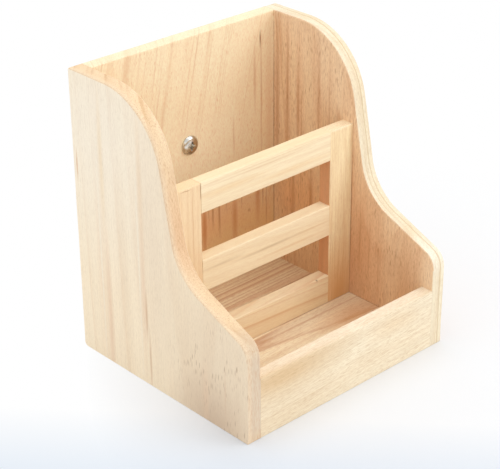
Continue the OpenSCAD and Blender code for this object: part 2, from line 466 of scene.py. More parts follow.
def link_piece(bm, name, materials, body, replaced):
    """The finished mesh as a piece that rides on its body and stands for its nodes."""
    piece = object_from(bm, name)
    piece.data.shade_smooth()
    for material in materials:
        piece.data.materials.append(material)
    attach(piece, body)
    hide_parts(*replaced)
    return piece


def easing_at(middle, arris, seed):
    """How much of its board's arris a free edge gets, by where its middle lies."""
    if middle.z < FOOT_ZONE:
        return FOOT_ARRIS / arris
    wear = noise.noise(middle * BROAD_WEAR + Vector((seed, 0, 0)))
    wear += FINE_WEAR_SHARE * noise.noise(middle * FINE_WEAR + Vector((0, seed, 0)))
    share = min(1.0, max(LEAST_EASING, USUAL_EASING + EASING_SWING * wear))
    return share / arris if middle.y > BACK_REAR - TOUCH else share


def make_board(node, materials, shown="low", arris=1.0, seed=0, tight=TIGHT):
    """A board with its node's outline, its free edges eased by hand sanding.

    shown is the flat side that gives the outline. arris is the width of the easing, as a share
    of the usual one, and tight what of it is left where two boards meet.
    """
    low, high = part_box(node)
    size = high - low
    axis = min(range(3), key=lambda i: size[i])
    bm = bmesh.new()
    bm.from_mesh(nodes[node].data)
    outline = outline_of(bm, axis, low[axis] if shown == "low" else high[axis])
    depth = Vector((0, 0, 0))
    depth[axis] = size[axis] if shown == "low" else -size[axis]
    thicken(bm, outline, depth)
    bmesh.ops.recalc_face_normals(bm, faces=bm.faces)
    others = [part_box(other) for other in BOARDS if other != node]
    weight = bm.edges.layers.float.new("bevel_weight_edge")
    for edge in bm.edges:
        if edge.calc_face_angle(0.0) < SHARP:
            continue
        middle = (edge.verts[0].co + edge.verts[1].co) / 2
        joined = any(in_box(middle, *box) for box in others)
        edge[weight] = tight if joined else easing_at(middle, arris, seed)
    # Sideways faces take the first wood and all others the second: copies of one wood, one
    # painted lighter and one darker, as painted light and shade for how the light falls on each.
    if len(materials) > 1:
        for face in bm.faces:
            face.material_index = 0 if abs(face.normal.x) > FACING_SIDEWAYS else 1
    piece = link_piece(bm, node + "_board", materials, "box", [node])
    easing = piece.modifiers.new("eased edges", "BEVEL")
    easing.limit_method = "WEIGHT"
    easing.width = ARRIS * arris
    easing.segments = 3
    easing.profile = 0.5
    easing.material = -1
    easing.use_clamp_overlap = False
    piece.modifiers.new("flat faces", "WEIGHTED_NORMAL")


# ---------------------------------------------------------------- the stick of each board

# In mm: where the faces that carry stains and painted light and shade lie, and a half size
# that reaches past any board.
LEFT_FACE = -80.0
LEFT_RIM = -75.0
RIGHT_FACE = 70.0
BACK_FACE = 64.0
FLOOR_TOP = 10.5
DIVIDER_FACE = -5.0
LIP_FACE = -73.0
BOUNDLESS = 1000


def in_mm(points):
    """Points given in mm, as lengths."""
    return [tuple(value * MM for value in point) for point in points]


def mark(place, half, colour, strength, solid=SOFT_STAIN_AND_SHADE):
    """One mark of a board, with its place and half size in mm.

    Marks are the wood's own stains and streaks, and also painted light and shade.
    """
    return (*in_mm((place, half)), colour, strength, solid)


def left_woods():
    """Face and rim woods of the left side panel. They are one board, so their rings agree.

    The face is paler and the rim warmer: lit and shaded copies of one wood, painted light and
    shade for how the light meets the side and the edge.
    """
    log = {"pith": (-30.0, 30.0), "tilt": (0.0, 1.5), "ring": 8.7, "sway": 1.5, "seed": 1.0}
    pale = (255, 246, 228)
    beige = (236, 204, 174)
    brown = (198, 148, 108)
    face = pine(
        "left panel pine",
        early=(255, 239, 211),
        late=(230, 198, 162),
        depth=0.3,
        band=(244, 218, 188),
        hairs=0.08,
        pores=0.75,
        pore_tone=(176, 148, 120),
        pored=in_mm(((LEFT_FACE, -56, 26), (60, 52, 56))),
        fibre=0.08,
        grit=0.13,
        wood_and_lighting_marks=[
            # Paler at the top towards the back and darker towards the bottom at the front:
            # partly the board's own tone, partly painted light and shade.
            mark((LEFT_FACE, 50, 150), (30, 90, 100), (255, 248, 234), 0.55),
            mark((LEFT_FACE, 2, 90), (30, 24, 80), (234, 215, 190), 0.45),
            mark((LEFT_FACE, -56, 28), (30, 78, 80), (222, 203, 178), 0.55),
            mark((LEFT_FACE, -46, 2), (30, 40, 34), (204, 180, 156), 0.7),
            mark((LEFT_FACE, 51, 70), (4, 1.1, 120), pale, 0.5),
            mark((LEFT_FACE, 47, 130), (4, 3.0, 50), (246, 222, 182), 0.5),
            mark((LEFT_FACE, 45, 30), (4, 3.4, 66), beige, 0.65),
            mark((LEFT_FACE, 16.4, 80), (4, 1.0, 100), pale, 0.5),
            mark((LEFT_FACE, 13, 120), (4, 3.0, 60), (240, 212, 178), 0.45),
            mark((LEFT_FACE, 30, 60), (4, 8, 90), (240, 220, 192), 0.4),
            mark((LEFT_FACE, 13, 60), (4, 2.4, 50), beige, 0.45),
            mark((LEFT_FACE, 11.2, 47), (4, 1.4, 20), brown, 0.55),
            mark((LEFT_FACE, 9.0, 16), (4, 1.3, 26), brown, 0.5),
            mark((LEFT_FACE, -38.5, 14), (4, 4.0, 30), beige, 0.3),
            mark((LEFT_FACE, -55, 26), (4, 0.8, 22), brown, 0.25),
            mark((LEFT_FACE, 69.5, 122), (4, 1.1, 12), (214, 150, 98), 0.6),
        ],
        **log,
    )
    rim = pine(
        "left panel rim",
        early=(244, 220, 183),
        late=(202, 152, 102),
        depth=0.5,
        hairs=0.4,
        pores=0.6,
        pore_tone=(200, 152, 108),
        fibre=0.24,
        grit=0.32,
        wood_and_lighting_marks=[
            mark((LEFT_RIM, -75, 30), (20, 26, 44), (218, 206, 188), 0.8, 0.5),
            mark((LEFT_RIM, -4, 95), (20, 30, 54), (230, 182, 140), 0.7),
            mark((LEFT_RIM, -45, 52), (20, 20, 20), (246, 226, 198), 0.7),
            mark((LEFT_RIM, -66, 62), (20, 12, 12), (214, 192, 162), 0.5),
            # Painted light: the face's paler colour carried onto the rim next to the outer face,
            # softening the painted change of light over the rounded edge.
            mark((LEFT_FACE, 0, 90), (4.2, BOUNDLESS, BOUNDLESS), (246, 226, 196), 0.7, 0.2),
        ],
        **log,
    )
    return [face, rim]


def right_woods():
    """Face and rim woods of the right side panel.

    The faces are darker and redder than the rim: copies of one wood, with painted shade for the
    inner face inside the box and painted light on the rim.
    """
    log = {"pith": (150.0, 25.0), "tilt": (0.0, -2.0), "ring": 5.5, "seed": 2.0}
    rust = (182, 114, 70)
    straw = (250, 222, 184)
    corner_shade = (168, 110, 72)
    face = pine(
        "right panel pine",
        early=(255, 229, 194),
        late=(208, 146, 98),
        depth=0.5,
        band=(238, 194, 152),
        band_depth=0.45,
        hairs=0.4,
        pores=0.6,
        pore_tone=(176, 122, 82),
        grit=0.32,
        wood_and_lighting_marks=[
            # Painted warm shade: the inner face low down behind the divider, deep in the box, is
            # oranger.
            mark((RIGHT_FACE, 40, 62), (9, 34, 34), (255, 200, 146), 0.5),
            mark((RIGHT_FACE, 60.5, 125), (4, 2.4, 70), rust, 0.45),
            mark((RIGHT_FACE, 55, 140), (4, 2.2, 60), straw, 0.6),
            mark((RIGHT_FACE, 51.5, 130), (4, 1.4, 60), rust, 0.5),
            mark((RIGHT_FACE, 46.5, 140), (4, 3.0, 60), straw, 0.7),
            mark((RIGHT_FACE, 42, 124), (4, 1.8, 44), rust, 0.5),
            mark((RIGHT_FACE, 39, 100), (4, 1.0, 44), rust, 0.5),
            mark((RIGHT_FACE, 33, 150), (4, 5, 60), straw, 0.5),
            mark((RIGHT_FACE, 24, 136), (4, 1.6, 44), rust, 0.4),
            mark((RIGHT_FACE, 15, 130), (4, 1.0, 36), rust, 0.35),
            mark((RIGHT_FACE, 46, 60), (4, 2.4, 44), rust, 0.4),
            mark((RIGHT_FACE, 30, 66), (4, 2.2, 40), rust, 0.45),
            mark((RIGHT_FACE, 21, 70), (4, 1.8, 30), straw, 0.4),
            mark((RIGHT_FACE, 12, 60), (4, 1.6, 40), rust, 0.4),
            mark((RIGHT_FACE, -14, 50), (9, 26, 70), (220, 154, 102), 0.55),
            mark((RIGHT_FACE, -46, 44), (4, 26, 26), (224, 182, 142), 0.5),
            mark((RIGHT_FACE, -13, 52), (4, 0.9, 30), rust, 0.35),
            mark((RIGHT_FACE, -21, 46), (4, 0.8, 26), rust, 0.3),
            mark((RIGHT_FACE, -29, 30), (4, 0.8, 30), rust, 0.25),
            # Painted shade: dark lines in the corners where the back and the divider meet this
            # face.
            mark((RIGHT_FACE, 64, 90), (4, 1.3, 120), corner_shade, 0.8),
            mark((RIGHT_FACE, -5.2, 66), (4, 0.7, 62), corner_shade, 0.6),
        ],
        **log,
    )
    rim = pine(
        "right panel rim",
        early=(248, 238, 212),
        late=(204, 170, 124),
        wood_and_lighting_marks=[
            mark((75, -64, 58), (20, 18, 14), (255, 249, 232), 0.65, 0.3),
            mark((76.2, 0, 100), (0.7, BOUNDLESS, BOUNDLESS), (210, 182, 134), 0.55, 0.4),
            mark((73.0, -20, 90), (0.6, 40, 30), (214, 188, 142), 0.45, 0.4),
        ],
        **log,
    )
    return [face, rim]


def inner_woods():
    """The woods of the back, the floor and the lip, in that order."""
    knot = (130, 78, 48)
    umber = (178, 100, 58)
    rusty = (214, 136, 82)
    flame = (206, 142, 94)
    corner_shade = (150, 98, 62)
    back = pine(
        "back panel pine",
        pith=(-130.0, -4.0),
        tilt=(-12.0, -4.0),
        ring=8.0,
        stops=THIN_RINGS,
        uneven=3.0,
        faintest=0.12,
        sway=3.0,
        early=(255, 240, 204),
        late=(214, 144, 90),
        depth=0.5,
        band=(255, 226, 186),
        band_depth=0.4,
        hairs=0.34,
        pores=0.4,
        fibre=0.14,
        pore_tone=(226, 160, 108),
        grit=0.24,
        wood_and_lighting_marks=[
            mark((58.8, BACK_FACE, 164), (0.9, 4, 7), (140, 84, 52), 0.9),
            mark((48.3, BACK_FACE, 50.8), (1.2, 4, 1.6), knot, 0.9),
            mark((59.5, BACK_FACE, 120), (1.0, 4, 64), flame, 0.5),
            # Painted shade: a darker strip in the corner against the right panel.
            mark((66, BACK_FACE, 110), (5, 4, 80), (236, 190, 150), 0.4),
            mark((-4, BACK_FACE, 98), (84, 4, 36), (255, 240, 206), 0.85, 0.35),
            # Painted warm shade: the lower back, deep behind the divider, is oranger.
            mark((0, BACK_FACE, 44), (90, 4, 40), (255, 196, 144), 0.7),
            mark((44, BACK_FACE, 28), (60, 4, 30), (255, 222, 170), 0.9, 0.5),
            mark((0, 69, 180), (200, 8, 2), (255, 238, 206), 0.45, 0.5),
            mark((36, BACK_FACE, 106), (1.0, 4, 18), flame, 0.4),
            mark((54, BACK_FACE, 140), (1.4, 4, 30), flame, 0.4),
            mark((10.5, BACK_FACE, 52), (2.4, 4, 30), rusty, 0.7),
            mark((14, BACK_FACE, 70), (1.1, 4, 20), umber, 0.45),
            mark((17.5, BACK_FACE, 60), (1.0, 4, 15), umber, 0.55),
            mark((20, BACK_FACE, 74), (0.8, 4, 12), umber, 0.4),
            mark((23, BACK_FACE, 57), (1.3, 4, 20), umber, 0.55),
            mark((29, BACK_FACE, 68), (1.2, 4, 14), umber, 0.4),
            mark((36, BACK_FACE, 50), (3.2, 4, 30), rusty, 0.55),
            mark((42, BACK_FACE, 66), (0.8, 4, 14), umber, 0.5),
            mark((56, BACK_FACE, 64), (3.0, 4, 30), rusty, 0.6),
            mark((60.5, BACK_FACE, 64), (0.9, 4, 20), umber, 0.6),
            mark((63.5, BACK_FACE, 50), (0.8, 4, 20), umber, 0.4),
        ],
        seed=3.0,
    )
    base = pine(
        "floor pine",
        grain="X",
        pith=(-50.0, 15.0),
        tilt=(0.0, 1.0),
        ring=2.6,
        uneven=0.9,
        faintest=0.6,
        early=(255, 245, 216),
        late=(178, 104, 58),
        depth=0.9,
        band=(238, 196, 150),
        hairs=0.3,
        fibre=0.15,
        pore_tone=(190, 128, 82),
        grit=0.3,
        wood_and_lighting_marks=[
            mark((0, -6.6, FLOOR_TOP), (200, 1.2, 4), (255, 238, 204), 0.7),
            mark((-25, -21.6, FLOOR_TOP), (52, 1.0, 4), (255, 238, 204), 0.75),
            mark((40, -19.4, FLOOR_TOP), (46, 1.0, 4), (255, 238, 204), 0.75),
            mark((20, -28, FLOOR_TOP), (100, 2.6, 4), (202, 152, 106), 0.4),
            mark((0, 42, FLOOR_TOP), (200, 34, 4), (255, 236, 200), 0.2, 0.5),
            mark((0, -42, FLOOR_TOP), (90, 30, 4), (255, 242, 208), 0.28, 0.5),
            mark((0, 31, FLOOR_TOP), (200, 3, 4), (206, 132, 84), 0.4),
            mark((30, -12.5, FLOOR_TOP), (70, 1.2, 4), (190, 128, 82), 0.5),
            mark((-10, -37.5, FLOOR_TOP), (80, 1.0, 4), (196, 138, 92), 0.5),
            mark((52, -30, FLOOR_TOP), (34, 26, 4), (212, 152, 98), 0.55),
            # Painted shade: dark lines in the corners along the divider's foot and the right
            # panel.
            mark((0, -5.2, FLOOR_TOP), (200, 0.8, 4), corner_shade, 0.45),
            mark((70, -30, FLOOR_TOP), (0.9, 40, 4), corner_shade, 0.6),
        ],
        seed=4.0,
    )
    lip = pine(
        "lip pine",
        grain="X",
        pith=(-60.0, 30.0),
        tilt=(0.0, 2.0),
        ring=2.6,
        early=(250, 240, 216),
        late=(206, 168, 122),
        depth=0.35,
        band=(246, 224, 190),
        band_depth=0.35,
        hairs=0.3,
        pores=0.45,
        pore_tone=(200, 166, 122),
        fibre=0.26,
        grit=0.34,
        wood_and_lighting_marks=[
            mark((-54, LIP_FACE, 33), (66, 20, 18), (222, 188, 142), 0.8),
            mark((-55, LIP_FACE, 8), (60, 4, 22), (238, 220, 190), 0.6),
            mark((36, LIP_FACE, 30), (30, 4, 9), (242, 210, 168), 0.4),
            mark((0, -67, 38.5), (200, 6.5, 1.6), (250, 236, 214), 0.75, 0.5),
        ],
        seed=5.0,
    )
    return back, base, lip


def divider_woods():
    """The woods of each stile and each rail. The right stile's sides carry painted shade."""
    left = pine(
        "left stile pine",
        pith=(15.0, -30.0),
        ring=6.05,
        sway=0.8,
        early=(248, 222, 184),
        depth=0.22,
        hairs=0.15,
        pore_tone=WARM_PORE,
        wood_and_lighting_marks=[
            mark((-60, 0, 126), (14, 10, 1.6), (248, 224, 184), 0.8, 0.6),
            mark((-57.5, DIVIDER_FACE, 100), (0.6, 3, 40), (214, 166, 118), 0.5),
            # Painted shade: a dark line down the stile's right edge, where it stands against the
            # top rail.
            mark((-51.2, DIVIDER_FACE, 121), (0.5, 3, 6), (150, 100, 62), 0.7, CRISP_SHADE),
            mark((-62, DIVIDER_FACE, 124.6), (5, 3, 0.5), (176, 122, 80), 0.6),
            # Painted shade: darker and oranger low down, in the shade of the left panel.
            mark((-60, DIVIDER_FACE, 50), (20, 6, 40), (236, 190, 142), 0.5),
        ],
        seed=6.0,
    )
    right = pine(
        "right stile pine",
        pith=(-120.0, -40.0),
        ring=5.0,
        early=(254, 234, 192),
        depth=0.25,
        hairs=0.3,
        fibre=0.4,
        pore_tone=WARM_PORE,
        grit=0.25,
        wood_and_lighting_marks=[
            mark((60, 0, 126), (14, 10, 1.6), (255, 240, 208), 0.85, 0.6),
            # Painted shade: darker at the foot, in the shade of the right panel.
            mark((60, DIVIDER_FACE, 10), (20, 6, 46), (226, 168, 108), 0.8),
            # Painted shade: a dark line where the stile meets the right panel.
            mark((69.8, DIVIDER_FACE, 66), (0.5, 3, 62), (168, 116, 74), 0.6),
        ],
        seed=7.0,
    )
    # Painted shade: the stile's sides, deep in the gaps, get a darker, redder copy of its wood.
    shaded_side = pine(
        "right stile shaded side pine",
        pith=(-120.0, -40.0),
        ring=5.0,
        early=(228, 172, 130),
        late=(184, 118, 78),
        band=(208, 146, 104),
        seed=7.0,
    )
    top = pine(
        "top rail pine",
        grain="X",
        pith=(60.0, -10.0),
        ring=7.0,
        early=(253, 238, 205),
        depth=0.25,
        hairs=0.2,
        pore_tone=WARM_PORE,
        grit=0.12,
        wood_and_lighting_marks=[
            mark((0, 0, 126), (80, 10, 1.6), (246, 224, 184), 0.6, 0.5),
            mark((-5, DIVIDER_FACE, 122), (50, 3, 0.8), (214, 170, 118), 0.4),
            mark((-30, DIVIDER_FACE, 117), (40, 3, 2.4), (240, 206, 156), 0.5),
            mark((22, DIVIDER_FACE, 112.5), (44, 3, 2.2), (240, 206, 156), 0.45),
        ],
        seed=8.0,
    )
    grey = (200, 168, 128)
    middle = pine(
        "middle rail pine",
        grain="X",
        pith=(20.0, -20.0),
        tilt=(0.0, -3.5),
        ring=6.5,
        early=(252, 233, 198),
        depth=0.2,
        hairs=0.12,
        fibre=0.15,
        pore_tone=WARM_PORE,
        grit=0.14,
        wood_and_lighting_marks=[
            mark((-36, DIVIDER_FACE, 70.6), (20, 3, 1.6), grey, 0.35),
            mark((2, DIVIDER_FACE, 67.8), (34, 3, 1.3), grey, 0.55),
            mark((36, DIVIDER_FACE, 67.6), (24, 3, 1.1), (222, 180, 128), 0.5),
            mark((20, DIVIDER_FACE, 62.2), (34, 3, 1.2), (228, 186, 134), 0.5),
        ],
        seed=9.0,
    )
    bottom = pine(
        "bottom rail pine",
        grain="X",
        pith=(-10.0, -12.0),
        tilt=(0.0, -2.5),
        ring=6.0,
        early=(255, 238, 204),
        late=(218, 160, 108),
        depth=0.6,
        hairs=0.25,
        fibre=0.15,
        pore_tone=WARM_PORE,
        grit=0.14,
        wood_and_lighting_marks=[mark((41.2, -4.4, 29.5), (1.0, 1.0, 2), (110, 74, 48), 0.85)],
        seed=10.0,
    )
    return [left], [shaded_side, right], [top], [middle], [bottom]


def make_boards():
    """Every board of the box, each with its own stick of pine."""
    back, base, lip = inner_woods()
    left_stile, right_stile, top_rail, middle_rail, bottom_rail = divider_woods()
    make_board("left_side_panel", left_woods(), arris=1.45, seed=1)
    make_board("right_side_panel", right_woods(), "high", seed=2)
    make_board("back_panel", [back], "high", seed=3)
    make_board("floor_panel", [base], seed=4)
    make_board("front_lip", [lip], seed=5)
    make_board("left_stile", left_stile, seed=6, tight=0.4)
    make_board("right_stile", right_stile, seed=7)
    make_board("top_rail", top_rail, seed=8)
    make_board("middle_rail", middle_rail, seed=9)
    make_board("bottom_rail", bottom_rail, seed=10)


# ---------------------------------------------------------------- bolt, washer and wing nut

BOLT_HEIGHT = 111.0 * MM
BACK_FRONT = BACK_FACE * MM
BOLT_LENGTH = 30.0 * MM
SHARP_METAL = math.radians(38)

# The bolt's head: a flat foot, an upright land, a round shoulder and a shallow dome.
HEAD_RADIUS = 6.3 * MM
HEAD_HEIGHT = 2.4 * MM
HEAD_FOOT = 0.15 * MM
HEAD_LAND = 0.62 * MM
LAND_EASING = 0.12 * MM
HEAD_SHOULDER = 3.35 * MM
SHOULDER_STEP_IN = 0.05 * MM
HEAD_STEEPEST = 58
HEAD_FLATTEST = 6
SLOPE_STEP = 4
DOME_FLAT = 0.3
DOME_DROP = 0.04 * MM
HEAD_STEPS = 64

# Its cross recess: two tapered bars and a cone that narrow towards the thread.
RECESS_TURN = math.radians(6)
RECESS_BAR = (7.2 * MM, 1.45 * MM, 3.2 * MM)
RECESS_TAPER = (0.42, 0.62, 1.0)
RECESS_DEPTH = 0.55 * MM
CONE_DEEP = 1.1 * MM
CONE_WIDE = 2.15 * MM
CONE_LENGTH = 3.3 * MM
CONE_FOOT = 0.35 * MM
CONE_STEPS = 24

# Its thread: each tooth as (share of the pitch, whether it is the crest).
THREAD_PITCH = 1.0 * MM
THREAD_RADIUS = 2.95 * MM
THREAD_ROOT = 2.36 * MM
THREAD_TOOTH = ((0.0, False), (0.25, False), (0.5625, True), (0.6875, True))
THREAD_STEPS = 40
THREAD_START = -0.3 * MM
THREAD_CHAMFER = 0.8 * MM

WASHER_RADIUS = 12.5 * MM
WASHER_THICK = 1.5 * MM
WASHER_HOLE = 3.2 * MM
WASHER_EASING = 0.28 * MM
WASHER_STEPS = 96

# The wing nut: half profiles of its hub and its bore in mm from the washer's rear face, and
# each wing's outline in mm as a foot, a round ear and a shoulder.
HUB = ((0, 0), (6.1, 0), (6.25, 0.2), (5.3, 7.4), (4.8, 8.0), (0, 8.0))
HUB_STEPS = 64
WING_FOOT = (Vector((0, 0, 1.6)), Vector((6.3, 0, 1.6)))
EAR_MIDDLE = Vector((10.0, 0, 10.0))
EAR_RADIUS = 5.9
EAR_FROM = -40
EAR_TURN = 180
EAR_STEPS = 18
WING_SHOULDER = (Vector((5.0, 0, 7.4)), Vector((0, 0, 7.4)))
WING_THICK = 2.4 * MM
BORE = ((0, -1), (4.2, -1), (3.15, 0.6), (3.15, 7.4), (4.2, 9), (0, 9))
BORE_STEPS = 48
CASTING_STEP = 0.26 * MM

# The cloudy shine of plated metal: detail and roughness, the stretch that is used, how dark
# the dull spots are, and the strength and depth of their relief.
CLOUD_NOISE = (4.0, 0.6)
CLOUD_RANGE = (0.35, 0.65)
DULL_SHADE = 0.86
CLOUD_RELIEF = (0.12, 0.1 * MM)

BEECH_SCALE = (900.0, 900.0, 900.0)
BEECH_NOISE = (0.8, 3.0)
BEECH_ROUGHNESS = (0.55, 0.7)


def plated_metal(name, colour, roughness, grain_scale, unevenness):
    """Plated metal with a faintly cloudy shine."""
    material, tree, shader = new_material(name)
    shader.inputs["Metallic"].default_value = 1.0
    cloud = noise_of(tree, object_place(tree), grain_scale, *CLOUD_NOISE)[0]
    darker = tone(*[channel * DULL_SHADE for channel in colour])
    shade = blend_colours(tree, spread(tree, cloud, *CLOUD_RANGE), darker, tone(*colour))
    tree.links.new(shade, shader.inputs["Base Color"])
    dull = spread(tree, cloud, *SHEEN_RANGE, roughness, roughness + unevenness)
    tree.links.new(dull, shader.inputs["Roughness"])
    tree.links.new(bump_of(tree, cloud, *CLOUD_RELIEF), shader.inputs["Normal"])
    return material


def dowel_beech():
    """Pale close-grained dowel wood."""
    material, tree, shader = new_material("dowel beech")
    place = vector_of(tree, object_place(tree), BEECH_SCALE)
    fleck = noise_of(tree, place, *BEECH_NOISE)[0]
    colour = blend_colours(tree, fleck, tone(214, 178, 132), tone(232, 202, 160))
    tree.links.new(colour, shader.inputs["Base Color"])
    dull = spread(tree, fleck, *SHEEN_RANGE, *BEECH_ROUGHNESS)
    tree.links.new(dull, shader.inputs["Roughness"])
    return material


def profile_of(bm, points, closed=False):
    """A half profile of (radius, height) points, as geometry to spin round Z."""
    verts = [bm.verts.new((radius, 0.0, height)) for radius, height in points]
    edges = [bm.edges.new(pair) for pair in zip(verts, verts[1:])]
    if closed:
        edges.append(bm.edges.new((verts[-1], verts[0])))
    return verts + edges


def turned(name, points, steps, closed=False):
    """A half profile spun once round Z, as a working object."""
    bm = bmesh.new()
    bmesh.ops.spin(
        bm,
        geom=profile_of(bm, points, closed),
        cent=(0, 0, 0),
        axis=(0, 0, 1),
        dvec=(0, 0, 0),
        angle=math.tau,
        steps=steps,
        use_merge=True,
    )
    bmesh.ops.remove_doubles(bm, verts=bm.verts, dist=SAME / 2)
    bmesh.ops.recalc_face_normals(bm, faces=bm.faces)
    return object_from(bm, name)


def settle(made):
    """Applies the object's modifiers to its mesh."""
    graph = bpy.context.evaluated_depsgraph_get()
    made.data = bpy.data.meshes.new_from_object(made.evaluated_get(graph))
    made.modifiers.clear()


def combine(base, tool, operation):
    """Joins tool to base or cuts it away, and uses it up."""
    step = base.modifiers.new("combine", "BOOLEAN")
    step.operation = operation
    step.solver = "EXACT"
    step.object = tool
    settle(base)
    bpy.data.objects.remove(tool)


def on_bolt_axis(bm, y):
    """Lays a shape that was turned round Z on the bolt's axis, with its foot at y."""
    turn = Matrix.Rotation(-math.pi / 2, 4, "X")
    bmesh.ops.transform(bm, matrix=turn, verts=bm.verts)
    bmesh.ops.translate(bm, verts=bm.verts, vec=(0, y, BOLT_HEIGHT))


def place_hardware(made, name, y, material, body, node):
    """Sets a finished part of the fastening on the bolt's axis as its own piece."""
    bm = bmesh.new()
    bm.from_mesh(made.data)
    bpy.data.objects.remove(made)
    on_bolt_axis(bm, y)
    piece = link_piece(bm, name, [material], body, [node])
    piece.data.set_sharp_from_angle(angle=SHARP_METAL)


def recess_arm(angle):
    """One tapered bar of the cross recess."""
    bm = bmesh.new()
    bmesh.ops.create_cube(bm, size=1.0)
    bmesh.ops.scale(bm, verts=bm.verts, vec=RECESS_BAR)
    deep = [v for v in bm.verts if v.co.z > 0]
    bmesh.ops.scale(bm, verts=deep, vec=RECESS_TAPER)
    bmesh.ops.translate(bm, verts=bm.verts, vec=(0, 0, RECESS_DEPTH - HEAD_HEIGHT))
    turn = Matrix.Rotation(angle, 3, "Z")
    bmesh.ops.rotate(bm, verts=bm.verts, cent=(0, 0, 0), matrix=turn)
    return object_from(bm, "recess arm")


def bolt_head():
    """The bolt's domed head with its cross recess."""
    points = [(0.0, 0.0), (HEAD_RADIUS - HEAD_FOOT, 0.0), (HEAD_RADIUS, -HEAD_FOOT)]
    points.append((HEAD_RADIUS, LAND_EASING - HEAD_LAND))
    steepest = math.radians(HEAD_STEEPEST)
    for degrees in range(HEAD_STEEPEST, HEAD_FLATTEST - 1, -SLOPE_STEP):
        slope = math.radians(degrees)
        inwards = SHOULDER_STEP_IN + HEAD_SHOULDER * (math.sin(steepest) - math.sin(slope))
        rise = HEAD_SHOULDER * (math.cos(slope) - math.cos(steepest))
        points.append((HEAD_RADIUS - inwards, -HEAD_LAND - rise))
    points.append((HEAD_RADIUS * DOME_FLAT, DOME_DROP - HEAD_HEIGHT))
    points.append((0.0, -HEAD_HEIGHT))
    head = turned("head", points, HEAD_STEPS)
    for angle in (RECESS_TURN, RECESS_TURN + math.pi / 2):
        combine(head, recess_arm(angle), "DIFFERENCE")
    cone = ((0, 0), (CONE_DEEP, 0), (CONE_WIDE, -CONE_LENGTH), (0, -CONE_LENGTH))
    cone = [(radius, height - CONE_FOOT) for radius, height in cone]
    combine(head, turned("recess cone", cone, CONE_STEPS), "DIFFERENCE")
    return head


def bolt_thread():
    """The rolled thread, cut off square inside the head and chamfered at its end."""
    bm = bmesh.new()
    points = []
    for turn in range(-2, int(BOLT_LENGTH / THREAD_PITCH) + 3):
        for share, crest in THREAD_TOOTH:
            radius = THREAD_RADIUS if crest else THREAD_ROOT
            points.append((radius, (turn + share) * THREAD_PITCH))
    bmesh.ops.spin(
        bm,
        geom=profile_of(bm, points),
        cent=(0, 0, 0),
        axis=(0, 0, 1),
        dvec=(0, 0, THREAD_PITCH / THREAD_STEPS),
        angle=math.tau,
        steps=THREAD_STEPS,
        use_merge=False,
    )
    bmesh.ops.remove_doubles(bm, verts=bm.verts, dist=2 * SAME)
    for height, side in ((THREAD_START, -1), (BOLT_LENGTH, 1)):
        bmesh.ops.bisect_plane(
            bm,
            geom=bm.verts[:] + bm.edges[:] + bm.faces[:],
            dist=SAME / 10,
            plane_co=(0, 0, height),
            plane_no=(0, 0, side),
            clear_outer=True,
        )
        rim = [e for e in bm.edges if e.is_boundary and abs(e.verts[0].co.z - height) < TOUCH]
        bmesh.ops.contextual_create(bm, geom=rim)
    for vert in bm.verts:
        limit = THREAD_RADIUS - max(0.0, vert.co.z - BOLT_LENGTH + THREAD_CHAMFER)
        radius = math.hypot(vert.co.x, vert.co.y)
        if radius > limit:
            vert.co.x *= limit / radius
            vert.co.y *= limit / radius
    bmesh.ops.recalc_face_normals(bm, faces=bm.faces)
    return object_from(bm, "thread")


def make_bolt(material):
    """The domed bolt with its cross recess and its rolled thread."""
    bolt = bolt_head()
    combine(bolt, bolt_thread(), "UNION")
    place_hardware(
        bolt, "cross_recess_bolt", BACK_FRONT, material, "bolt", "mounting_bolt"
    )


def make_washer(material):
    """The wide flat washer, with its punched edge rounded."""
    ring = [
        (WASHER_HOLE, 0),
        (WASHER_RADIUS, 0),
        (WASHER_RADIUS, WASHER_THICK),
        (WASHER_HOLE, WASHER_THICK),
    ]
    washer = turned("washer", ring, WASHER_STEPS, closed=True)
    edge = washer.modifiers.new("punched edge", "BEVEL")
    edge.width = WASHER_EASING
    edge.segments = 3
    edge.limit_method = "ANGLE"
    settle(washer)
    place_hardware(
        washer, "flat_washer", BACK_REAR, material, "washer", "clamp_washer"
    )


def wing_on(side):
    """One wing of the nut, to the right (1) or to the left (-1)."""
    ear = []
    for step in range(EAR_STEPS + 1):
        angle = math.radians(EAR_FROM + EAR_TURN * step / EAR_STEPS)
        ear.append(EAR_MIDDLE + Vector((math.cos(angle), 0, math.sin(angle))) * EAR_RADIUS)
    bm = bmesh.new()
    verts = [bm.verts.new(point * MM) for point in (*WING_FOOT, *ear, *WING_SHOULDER)]
    face = bm.faces.new(verts)
    bmesh.ops.translate(bm, verts=verts, vec=(0, -WING_THICK / 2, 0))
    thicken(bm, face, (0, WING_THICK, 0))
    bmesh.ops.scale(bm, verts=bm.verts, vec=(side, 1, 1))
    bmesh.ops.recalc_face_normals(bm, faces=bm.faces)
    return object_from(bm, "wing")


def make_wing_nut(material):
    """The cast wing nut: hub and wings flow into each other, then the bore is cut."""
    nut = turned("nut", in_mm(HUB), HUB_STEPS)
    for side in (1, -1):
        combine(nut, wing_on(side), "UNION")
    skin = nut.modifiers.new("casting", "REMESH")
    skin.mode = "VOXEL"
    skin.voxel_size = CASTING_STEP
    soft = nut.modifiers.new("cast fillets", "SMOOTH")
    soft.factor = 0.5
    soft.iterations = 8
    settle(nut)
    combine(nut, turned("bore", in_mm(BORE), BORE_STEPS), "DIFFERENCE")
    foot = BACK_REAR + WASHER_THICK
    place_hardware(nut, "cast_wing_nut", foot, material, "nut", "wing_nut")


